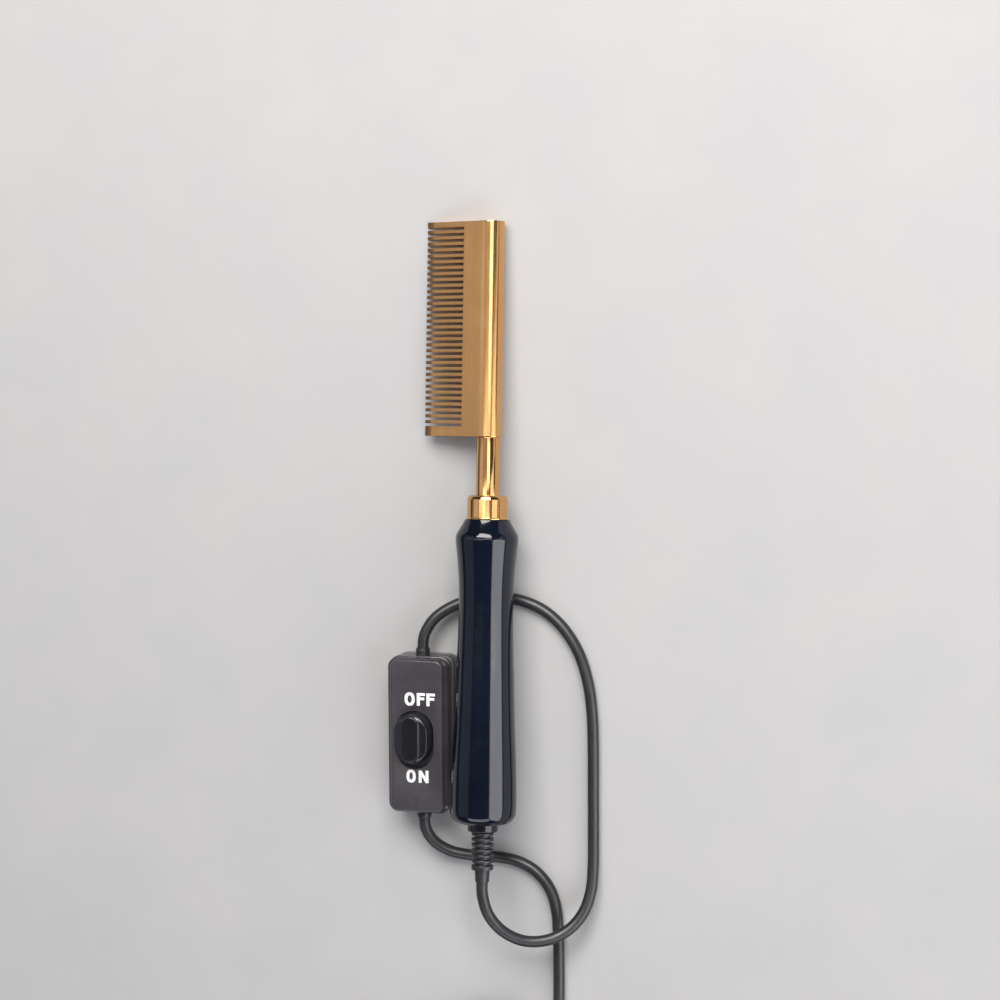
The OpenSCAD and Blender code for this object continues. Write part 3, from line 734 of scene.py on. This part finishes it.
HANDLE_PTS = [(-HANDLE_LEN, 10.1), (-HANDLE_LEN + 0.9, 11.9), (-HANDLE_LEN + 2.6, 13.2), (-HANDLE_LEN + 5.6, 13.75),
              (-112, 13.8), (-99, 13.4), (-83, 12.65), (-66, 12.1), (-50, 11.55), (-38, 11.3), (-30, 11.32),
              (-22, 11.7), (-15, 12.3), (-11, 12.8), (-8.2, 13), (-6.6, 12.85), (-5.4, 12.35), (-3.6, 11.25),
              (-1.8, 10.2), (-0.5, 9.5), (0, 9.3)]
handle_outer = [(p[0], p[1]) for p in catmull([(y, r, 0) for y, r in HANDLE_PTS], 6)]
handle_profile = handle_outer + [(0, 7.5), (-4, 7.5), (-4, 5.1), (-10, 5.1), (-10, CAVITY_R), (-HANDLE_LEN, CAVITY_R)]
handle = finish_piece(lathe("handle_moulding", handle_profile, segs=160, sharp=40), "handle_black", replaces=["handle_shell"])

cap_profile = rounded([(-119.8, 3.75), (-119.8, 8.56), (-HANDLE_LEN, 8.56), (-HANDLE_LEN, 6.3), (-129, 6.3), (-129, 3.75)],
                      [0, 0.2, 0, 0.25, 0.7, 0.3], 5)
rear_cap = finish_piece(lathe("rear_cap_moulding", cap_profile), "cap_black", replaces=["rear_cap"])


def strain_profile():
    out = [(-117.5, 2.46), (-117.5, 6.0), (-119.7, 6.0), (-119.7, 3.7), (-129.2, 3.7)]
    rad = [0, 0.2, 0.2, 0.2, 0.0]
    for i in range(7):
        y0 = -129.2 - i * RIB_PITCH
        y1 = -130.55 - i * RIB_PITCH - (0.7 if i == 6 else 0.0)
        r = 4.65 - 0.02 * i
        out += [(y0, 3.2 if i else 3.7), (y0 - 0.05, r), (y1 + 0.05, r), (y1, 3.2 if i < 6 else 3.15)]
        rad += [0.22 if i else 0.0, 0.32, 0.32, 0.22]
    out += [(-BOOT_END, 2.86), (-BOOT_END, 2.46)]
    rad += [0.3, 0.0]
    return rounded(out, rad, 3)


relief = finish_piece(lathe("strain_relief_boot", strain_profile(), segs=72, sharp=50), "relief_rubber", replaces=["strain_relief"])

# ------------------------------------------------------------------ switch


def at_z(loop, z):
    return [(x, y, z) for x, y in loop]


def upper_case():
    w, l = SW_W, SW_L
    loops = [at_z(rrect(w - 0.7, l - 0.7, 4.15), SPLIT + 0.02),
             at_z(rrect(w - 0.16, l - 0.16, 4.42), SPLIT + 0.16),
             at_z(rrect(w, l, 4.5), SPLIT + 0.42),
             at_z(rrect(w, l, 4.5), 13.3),
             at_z(rrect(w - 0.14, l - 0.14, 4.43), 13.52),
             at_z(rrect(w - 0.62, l - 0.62, 4.2), 13.62),
             at_z(rrect(w - 0.7, l - 0.7, 4.15), 13.8)]
    # shoulder, sloping band and the crisp edge of the raised face: (inset across, inset along, corner, z)
    for ix, iy, r, z in ((0.36, 0.36, 4.15, 15.9), (0.42, 0.4, 4.12, 16.06), (0.56, 0.48, 4.05, 16.2), (0.78, 0.58, 4.0, 16.32),
                         (1.85, 1.0, 3.6, 17.22), (2.0, 1.06, 3.5, 17.38), (2.08, 1.12, 3.44, 17.56), (2.13, 1.17, 3.4, 17.72),
                         (2.22, 1.26, 3.32, 17.86), (2.36, 1.4, 3.2, 17.95), (2.55, 1.59, 3.05, 17.99), (2.8, 1.84, 2.9, SW_H)):
        loops.append(at_z(rrect(w - 2 * ix, l - 2 * iy, r), z))
    sl = 21.9 + TRAVEL
    for grow, z in ((0.5, SW_H), (0.3, SW_H - 0.04), (0.12, SW_H - 0.16), (0.02, SW_H - 0.34), (0.0, SW_H - POCKET + 0.12),
                    (-0.2, SW_H - POCKET)):
        loops.append(at_z(rrect(16.4 + grow, sl + grow, 8.2 + grow / 2, cx=BUTTON_X, cy=TRACK_Y), z))
    slot_l = 8.4 + TRAVEL
    loops += [at_z(rrect(5.2, slot_l + 0.2, 0.6, cy=TRACK_Y), SW_H - POCKET),
              at_z(rrect(5, slot_l, 0.5, cy=TRACK_Y), SW_H - POCKET - 0.1),
              at_z(rrect(5, slot_l, 0.5, cy=TRACK_Y), SW_H - TOP_T),
              at_z(rrect(w - 2 * WALL, l - 2 * WALL, 2.5), SW_H - TOP_T),
              at_z(rrect(w - 2 * WALL, l - 2 * WALL, 2.5), SPLIT + 0.02)]
    obj = loft("switch_upper_shell", loops, SWITCH, closed=True)
    cut(obj, [cyl_cutter(3.1, (0, -SW_L, SPLIT), (0, -20, SPLIT), SWITCH), cyl_cutter(3.1, (0, 20, SPLIT), (0, SW_L, SPLIT), SWITCH)])
    return obj


def lower_case():
    w, l = SW_W, SW_L
    loops = []
    fr = 1.0
    for k in range(5):
        a = math.pi / 2 * k / 4
        inset = fr * (1 - math.sin(a))
        loops.append(at_z(rrect(w - 2 * inset, l - 2 * inset, 4.5 - inset * 0.8), fr - fr * math.cos(a)))
    loops += [at_z(rrect(w, l, 4.5), SPLIT - 0.42),
              at_z(rrect(w - 0.16, l - 0.16, 4.42), SPLIT - 0.16),
              at_z(rrect(w - 0.7, l - 0.7, 4.15), SPLIT - 0.02),
              at_z(rrect(w - 2 * WALL, l - 2 * WALL, 2.5), SPLIT - 0.02),
              at_z(rrect(w - 2 * WALL, l - 2 * WALL, 2.5), WALL)]
    obj = loft("switch_lower_shell", loops, SWITCH)
    cutters = [cyl_cutter(3.1, (0, -SW_L, SPLIT), (0, -20, SPLIT), SWITCH), cyl_cutter(3.1, (0, 20, SPLIT), (0, SW_L, SPLIT), SWITCH)]
    for x, y in SCREW_AT:
        cutters.append(cyl_cutter(3.0, (x, y, -1), (x, y, 2.6), SWITCH))
    cut(obj, cutters)
    return obj


switch_upper = finish_piece(upper_case(), "switch_black", replaces=["switch_upper_case"])
switch_lower = finish_piece(lower_case(), "switch_black", replaces=["switch_lower_case"])


def button():
    z0 = SW_H - POCKET + 0.06
    loops = [at_z(rrect(4.6, 8, 0.4, cy=OFF_Y), SW_H - TOP_T - 1.6), at_z(rrect(4.6, 8, 0.4, cy=OFF_Y), z0)]
    prof = [(15.5, 21.3, z0), (15.8, 21.6, z0 + 0.15), (15.8, 21.6, 18.12), (15.72, 21.52, 18.24), (15.56, 21.36, 18.3),
            (15.48, 21.28, 18.5), (15.04, 20.88, 21.0), (14.72, 20.58, 22.6), (14.6, 20.46, 22.86), (14.36, 20.3, 23.06),
            (13.95, 20.14, 23.2), (13.2, 19.98, 23.34), (10.2, 19.66, 23.52), (8.3, 19.42, 23.66), (8.05, 19.34, 23.72),
            (7.85, 19.2, 23.82), (7.4, 18.9, 24.08), (7.2, 18.76, 24.17), (6.9, 18.56, 24.24), (6.2, 18.1, 24.29), (5.6, 17.6, 24.27), (4.2, 15.6, 24.2),
            (2.4, 13.0, 24.14), (1.0, 11.0, 24.12)]
    loops += [at_z(rrect(w, l, w / 2, n=8, cx=BUTTON_X, cy=OFF_Y), z) for w, l, z in prof]
    return loft("slide_button_cap", loops, SWITCH, sharp=50)


slide_button = finish_piece(button(), "button_black", body="switch_slider", replaces=["slide_button"])


def grommets():
    parts = []
    for s in (1, -1):
        prof = rounded([(-3.6, 2.45), (-3.6, 4.2), (-2.1, 4.2), (-2.1, 3.04), (0.55, 3.04), (0.7, 2.86), (1.15, 2.86), (1.3, 3.04),
                        (2.97, 2.9), (2.97, 2.45)], [0, 0.2, 0.2, 0, 0.06, 0.06, 0.06, 0.06, 0.35, 0.0], 3)
        mat = SWITCH @ Matrix.Translation((0, s * SW_L / 2, SPLIT)) @ Matrix.Scale(s, 4, (0, 1, 0))
        parts.append(lathe("grommet", prof, mat, segs=48, sharp=45))
    return join("switch_grommet_pair", parts)


grommet = finish_piece(grommets(), "relief_rubber", replaces=["switch_grommets"])


def solid_outline(outlines, z0, z1, edge=0.03):
    """Flat letters: each entry is (outer, inner or None), extruded straight up between z0 and z1."""
    verts, faces = [], []
    for outer, inner in outlines:
        rings = [outer] + ([inner] if inner else [])
        base = len(verts)
        n_all = sum(len(r) for r in rings)
        for z in (z0, z1):
            for r in rings:
                verts.extend((x, y, z) for x, y in r)
        tris = tessellate_polygon([[Vector((x, y, 0)) for x, y in r] for r in rings])
        for t in tris:
            faces.append(tuple(base + i for i in t))
            faces.append(tuple(base + n_all + i for i in reversed(t)))
        start = 0
        for r in rings:
            for k in range(len(r)):
                a, b = start + k, start + (k + 1) % len(r)
                faces.append((base + a, base + b, base + n_all + b, base + n_all + a))
            start += len(r)
    return verts, faces


def letter_o(cx, cy, w, h, s):
    def oval(a, b, p, n=36):
        out = []
        for k in range(n):
            t = 2 * math.pi * k / n
            c, d = math.cos(t), math.sin(t)
            out.append((cx + a * math.copysign(abs(c) ** (2 / p), c), cy + b * math.copysign(abs(d) ** (2 / p), d)))
        return out
    return (oval(w / 2, h / 2, 2.35), oval(w / 2 - s, h / 2 - s * 0.92, 2.2))


def letter_f(x, cy, w, h, s):
    y0, y1 = cy - h / 2, cy + h / 2
    mid = cy + h * 0.06
    b = s * 0.82
    return (rounded([(x, y0), (x + s, y0), (x + s, mid - b / 2), (x + w * 0.92, mid - b / 2), (x + w * 0.92, mid + b / 2), (x + s, mid + b / 2),
                     (x + s, y1 - b), (x + w, y1 - b), (x + w, y1), (x, y1)], [0.12] * 10, 2), None)


def letter_n(x, cy, w, h, s):
    y0, y1 = cy - h / 2, cy + h / 2
    return (rounded([(x, y0), (x + s, y0), (x + s, y1 - h * 0.42), (x + w - s, y0), (x + w, y0), (x + w, y1), (x + w - s, y1),
                     (x + w - s, y0 + h * 0.42), (x + s, y1), (x, y1)], [0.1, 0.1, 0, 0.1, 0.1, 0.1, 0.1, 0, 0.1, 0.1], 2), None)


def xy(outlines):
    return [([(p[0], p[1]) for p in o], [(p[0], p[1]) for p in i] if i else None) for o, i in outlines]


OFF_AT, ON_AT = (1.49, 15.6), (0.18, -16.95)
off_letters = xy([letter_o(OFF_AT[0] - 6.69 + 2.22, OFF_AT[1], 4.43, 5.6, 1.28),
                  letter_f(OFF_AT[0] - 6.69 + 5.37, OFF_AT[1], 3.6, 5.35, 1.34),
                  letter_f(OFF_AT[0] - 6.69 + 9.62, OFF_AT[1], 3.74, 5.35, 1.34)])
on_letters = xy([letter_o(ON_AT[0] - 4.85 + 2.03, ON_AT[1], 4.06, 5.45, 1.24),
                 letter_n(ON_AT[0] - 4.85 + 5.4, ON_AT[1], 4.3, 5.2, 1.26)])
lv, lf = solid_outline(off_letters + on_letters, SW_H - 0.03, SW_H + 0.05)
letters = new_object("switch_marks_on_off", lv, lf, SWITCH, sharp=30)
finish_piece(letters, "white_print")

# ------------------------------------------------------------------ plug and tie


def plug_body():
    def sec(w, h, r, y):
        return [(x, y, z) for x, z in rrect(w, h, r, n=8)]
    loops = [sec(5.0, 5.0, 2.49, 14.0), sec(5.0, 5.0, 2.49, 0.0), sec(6.3, 6.3, 3.14, 0.0), sec(6.6, 6.6, 3.29, 0.25)]
    # ribbed tail
    y, r = 0.25, 3.3
    for i in range(5):
        rib = 4.2 + 0.3 * i
        low = 3.3 + 0.106 * (2 + i * 2.9)
        y0 = 2 + i * 2.9
        for dy, rr in ((0.0, low), (0.08, rib - 0.25), (0.3, rib), (1.2, rib), (1.42, rib - 0.25), (1.5, low + 0.15)):
            loops.append(sec(2 * rr, 2 * rr, rr, y0 + dy))
    loops += [sec(10.2, 10.2, 5.09, 15.6), sec(11.6, 10.6, 4.9, 16.6), sec(15.2, 11.3, 4.4, 17.9), sec(19.2, 12.1, 3.9, 19.0),
              sec(22.4, 12.9, 3.5, 20.0), sec(23.6, 13.3, 3.2, 20.9), sec(24.0, 13.5, 3.05, 22.0), sec(24.0, 13.5, 3.0, 23.4)]
    # finger grips: shallow grooves across both broad faces
    for k in range(4):
        y0 = 24.2 + k * 3.0
        loops += [sec(24.0, 13.5, 3.0, y0), sec(23.7, 12.6, 2.8, y0 + 0.45), sec(23.7, 12.6, 2.8, y0 + 1.15), sec(24.0, 13.5, 3.0, y0 + 1.6)]
    loops += [sec(24.0, 13.5, 3.0, 39.4), sec(23.86, 13.36, 2.95, 40.2), sec(23.3, 12.8, 2.75, 40.8), sec(22.4, 11.9, 2.4, 41.0)]
    obj = loft("plug_moulding", loops, PLUG, sharp=38)
    cut(obj, [box_cutter((-9.05, 16 + PLUG_L - 10.05, -4.55), (9.05, 16 + PLUG_L - 1.95, 4.55), PLUG)], 38)
    return obj


plug_piece = finish_piece(plug_body(), "plug_black", replaces=["plug_body"])


def tie():
    """Vinyl strap round the hank's waist, pulled through a small keeper."""
    half, r = MID_W + CORD_D / 2 + 0.03, 2.5
    z0, z1 = TIE_T - 0.04, TIE_T + 2 * CORD_D + 0.06
    cz, hh = (z0 + z1) / 2, (z1 - z0)
    t = 0.8
    loops = []
    cross = [(-2.3, 0.0), (2.3, 0.0), (2.45, 0.12), (2.5, 0.4), (2.45, 0.68), (2.3, t), (0.75, t), (0.5, t + 0.0), (0.0, t + 0.05), (-0.5, t), (-0.75, t),
             (-2.3, t), (-2.45, 0.68), (-2.5, 0.4), (-2.45, 0.12)]
    inner = rrect(2 * half, hh, r, n=8)
    outer = rrect(2 * half + 2 * t, hh + 2 * t, r + t, n=8)
    ring = []
    for (xi, zi), (xo, zo) in zip(inner, outer):
        ring.append([(xi + (xo - xi) * d / t, y, cz + zi + (zo - zi) * d / t) for y, d in cross])
    strap = loft("strap", [[(HANK_X + x, HANK_Y + y, z) for x, y, z in sec] for sec in ring], PLACE, closed=True, sharp=40)
    # tail of the strap lying along the top, and the keeper it passes through
    zt = z1 + t
    keeper = [[(HANK_X + 6 + x, HANK_Y + y, zt + z) for y, z in rrect(6.6, 1.9, 0.5, n=4)] for x in (-1.9, -1.6, 1.6, 1.9)]
    keeper = [[(x, HANK_Y + (y - HANK_Y) * f, zt + (z - zt) * f) for x, y, z in sec] for sec, f in zip(keeper, (0.9, 1, 1, 0.9))]
    k_obj = loft("keeper", keeper, PLACE, sharp=35)
    path = catmull([(7.0, 0, zt + 0.42), (10, 0.1, zt + 0.44), (12.8, 0.5, zt + 0.3), (15.2, 1.3, zt - 1.2), (16.4, 2.2, zt - 3.6)], 6)
    tail = []
    for i, p in enumerate(path):
        a, b = path[max(i - 1, 0)], path[min(i + 1, len(path) - 1)]
        d = (b - a).normalized()
        w = Vector((0, 1, 0)) - d * d.y
        w.normalize()
        u = d.cross(w)
        f = 1.0 if i < len(path) - 3 else (0.8, 0.55, 0.3)[i - len(path) + 3]
        tail.append([tuple(Vector((HANK_X, HANK_Y, 0)) + p + w * (cy * f) + u * (cz_ * (1 if f == 1 else 0.9))) for cy, cz_ in rrect(4.6, 0.7, 0.3, n=3)])
    t_obj = loft("tail", tail, PLACE, sharp=35)
    return join("cord_tie_strap", [strap, k_obj, t_obj])


tie_piece = finish_piece(tie(), "tie_black", replaces=["cord_tie"])

# ------------------------------------------------------------------ floor, light, world
bm = bmesh.new()
bmesh.ops.create_grid(bm, x_segments=2, y_segments=2, size=3.0)
floor_mesh = bpy.data.meshes.new("floor")
bm.to_mesh(floor_mesh)
bm.free()
floor = bpy.data.objects.new("floor", floor_mesh)
floor.location = (0, 0, -0.00005)
scene.collection.objects.link(floor)
fmat, fnt, fb = material("floor_pale")
fvec = coords(fnt)
fnt.links.new(ramp(fnt, noise(fnt, fvec, 0.02, 3.0), [(0.3, (0.285, 0.285, 0.29)), (0.7, (0.3, 0.3, 0.3))]), fb.inputs["Base Color"])
fb.inputs["Roughness"].default_value = 0.85
fb.inputs["Specular IOR Level"].default_value = 0.2
floor_mesh.materials.append(fmat)


def area(name, at, aim, size, power, color=(1, 1, 1)):
    d = bpy.data.lights.new(name, "AREA")
    d.shape = "RECTANGLE"
    d.size, d.size_y = size
    d.energy = power
    d.color = color
    o = bpy.data.objects.new(name, d)
    scene.collection.objects.link(o)
    o.location = at
    o.rotation_mode = "QUATERNION"
    o.rotation_quaternion = (Vector(aim) - Vector(at)).to_track_quat("-Z", "Y")
    return o


def radiance(size, value):
    """Power in watts of an area light of this size whose surface has this radiance."""
    return value * math.pi * size[0] * size[1]


def ceiling(name, x0, x1, y0, y1, value, color, z=1.2):
    """A soft panel facing down, given by its edges in metres."""
    size = (x1 - x0, y1 - y0)
    at = ((x0 + x1) / 2, (y0 + y1) / 2, z)
    area(name, at, (at[0], at[1], 0.0), size, radiance(size, value), color)


def side(name, x, y0, y1, z0, z1, value, color):
    """An upright soft panel to the right or left, facing the middle."""
    size = (y1 - y0, z1 - z0)
    at = (x, (y0 + y1) / 2, (z0 + z1) / 2)
    area(name, at, (0.0, at[1], at[2]), size, radiance(size, value), color)


WARM, COOL = (1.0, 0.975, 0.94), (0.98, 0.97, 1.0)
ceiling("key_collar", -0.68, 0.14, 0.06, 0.129, 3.0, WARM)
ceiling("key_neck", -0.24, 0.6, 0.129, 0.155, 3.0, WARM)
ceiling("key_blade", 0.2, 0.82, 0.153, 0.42, 3.3, WARM)
ceiling("key_plate", -2.6, -0.25, 0.066, 0.45, 0.42, WARM)
ceiling("key_root", -0.25, 0.2, 0.153, 0.45, 0.36, WARM)
ceiling("key_far", -0.5, 0.84, 0.5, 1.9, 13.5, WARM)
side("side_end", 1.02, -1.3, -0.75, 0.08, 1.08, 4.0, COOL)
ceiling("key_back", -1.1, 1.1, -2.2, -1.0, 3.0, (0.97, 0.94, 1.0))
area("side_near", (1.0, -0.36, 0.58), (0.0, -0.36, 0.2), (0.78, 1.0), radiance((0.78, 1.0), 4.3), COOL)
side("side_neck", 1.02, -0.02, 0.17, 0.32, 1.12, 1.7, (1.0, 0.95, 0.93))
side("side_blade", 1.02, 0.17, 0.46, 0.1, 0.42, 0.8, (1.0, 0.95, 0.9))
area("fill_left", (-1.3, 0.0, 0.9), (0.0, 0.0, 0.0), (1.5, 1.2), radiance((1.5, 1.2), 0.33), (0.82, 0.89, 1.0))

world = bpy.data.worlds.new("studio")
world.use_nodes = True
wb = next(n for n in world.node_tree.nodes if n.type == "BACKGROUND")
wb.inputs["Color"].default_value = (0.92, 0.94, 1.0, 1.0)
wb.inputs["Strength"].default_value = 0.08
scene.world = world
scene.view_settings.view_transform = "Standard"
scene.view_settings.look = "None"
